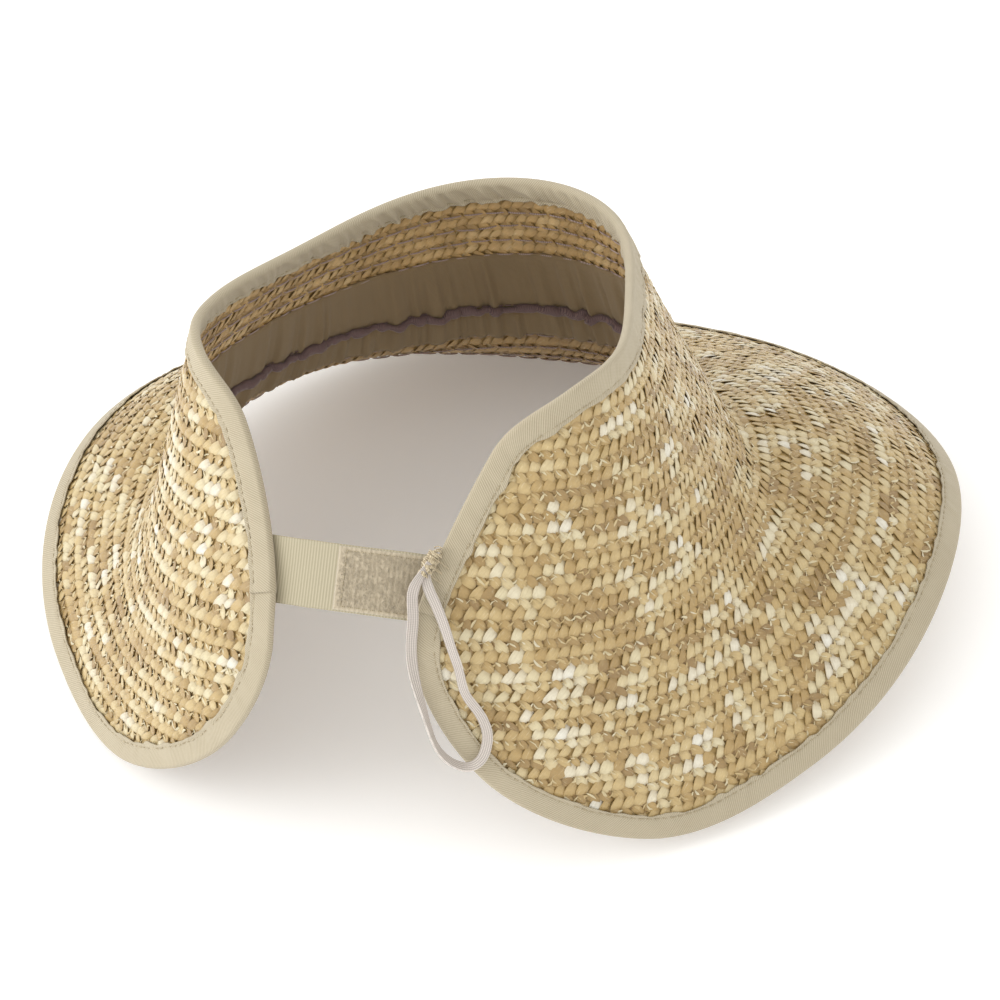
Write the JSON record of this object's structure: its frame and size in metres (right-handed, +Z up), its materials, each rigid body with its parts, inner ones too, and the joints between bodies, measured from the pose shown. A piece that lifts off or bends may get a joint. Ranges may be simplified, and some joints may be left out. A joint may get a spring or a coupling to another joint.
{
  "type": "sun visor",
  "caption": "Wraparound straw sun visor, open at the back, with taped edges, a sweatband, a hook-and-loop back strap and an elastic roll-up loop.",
  "frame": {"origin": "middle of the visor's bounding box at the surface it stands on", "axes": "+Z up, -Y to the front of the brim, +X to the wearer's left"},
  "size_m": [0.2974, 0.2738, 0.1394],
  "materials": {
    "straw": "golden wheat straw, satin, plaited",
    "binding_tape": "beige cotton twill tape",
    "thread": "beige sewing thread",
    "sweatband_cloth": "khaki cotton cloth",
    "sweatband_thread": "dusty mauve sewing thread",
    "ribbon": "off-white grosgrain ribbon",
    "loop_tape": "soft looped pile",
    "hook_tape": "stiff hooked pile",
    "elastic": "white ribbed elastic"
  },
  "bodies": {
    "visor": {"crown_row_01": "straw", "crown_row_02": "straw", "crown_row_03": "straw", "crown_row_04": "straw", "crown_row_05": "straw", "crown_row_06": "straw", "crown_row_07": "straw", "crown_row_08": "straw", "crown_row_09": "straw", "crown_row_10": "straw", "crown_row_11": "straw", "brim_row_01": "straw", "brim_row_02": "straw", "brim_row_03": "straw", "brim_row_04": "straw", "brim_row_05": "straw", "brim_row_06": "straw", "brim_row_07": "straw", "brim_row_08": "straw", "brim_row_09": "straw", "brim_row_10": "straw", "brim_row_11": "straw", "brim_row_12": "straw", "crown_binding": "binding_tape", "brim_binding": "binding_tape", "crown_binding_thread": "thread", "brim_binding_thread": "thread", "sweatband": "sweatband_cloth", "sweatband_thread": "sweatband_thread", "hook_patch": "hook_tape", "elastic_tack": "thread"},
    "strap": {"strap_ribbon": "ribbon", "loop_patch": "loop_tape", "loop_patch_thread": "thread", "strap_bar_tack": "thread"},
    "loop": {"elastic_loop": "elastic"}
  },
  "joints": [
    {"name": "strap_peel", "type": "hinge", "parent": "visor", "child": "strap", "pos_m": [0.0361, 0.1099, 0.0908], "axis": [0, -0.6428, 0.766], "range_deg": [0, 60]},
    {"name": "elastic_loop_swing", "type": "hinge", "parent": "visor", "child": "loop", "pos_m": [-0.0267, 0.1101, 0.1001], "axis": [1, 0, 0], "range_deg": [0, 35]}
  ]
}
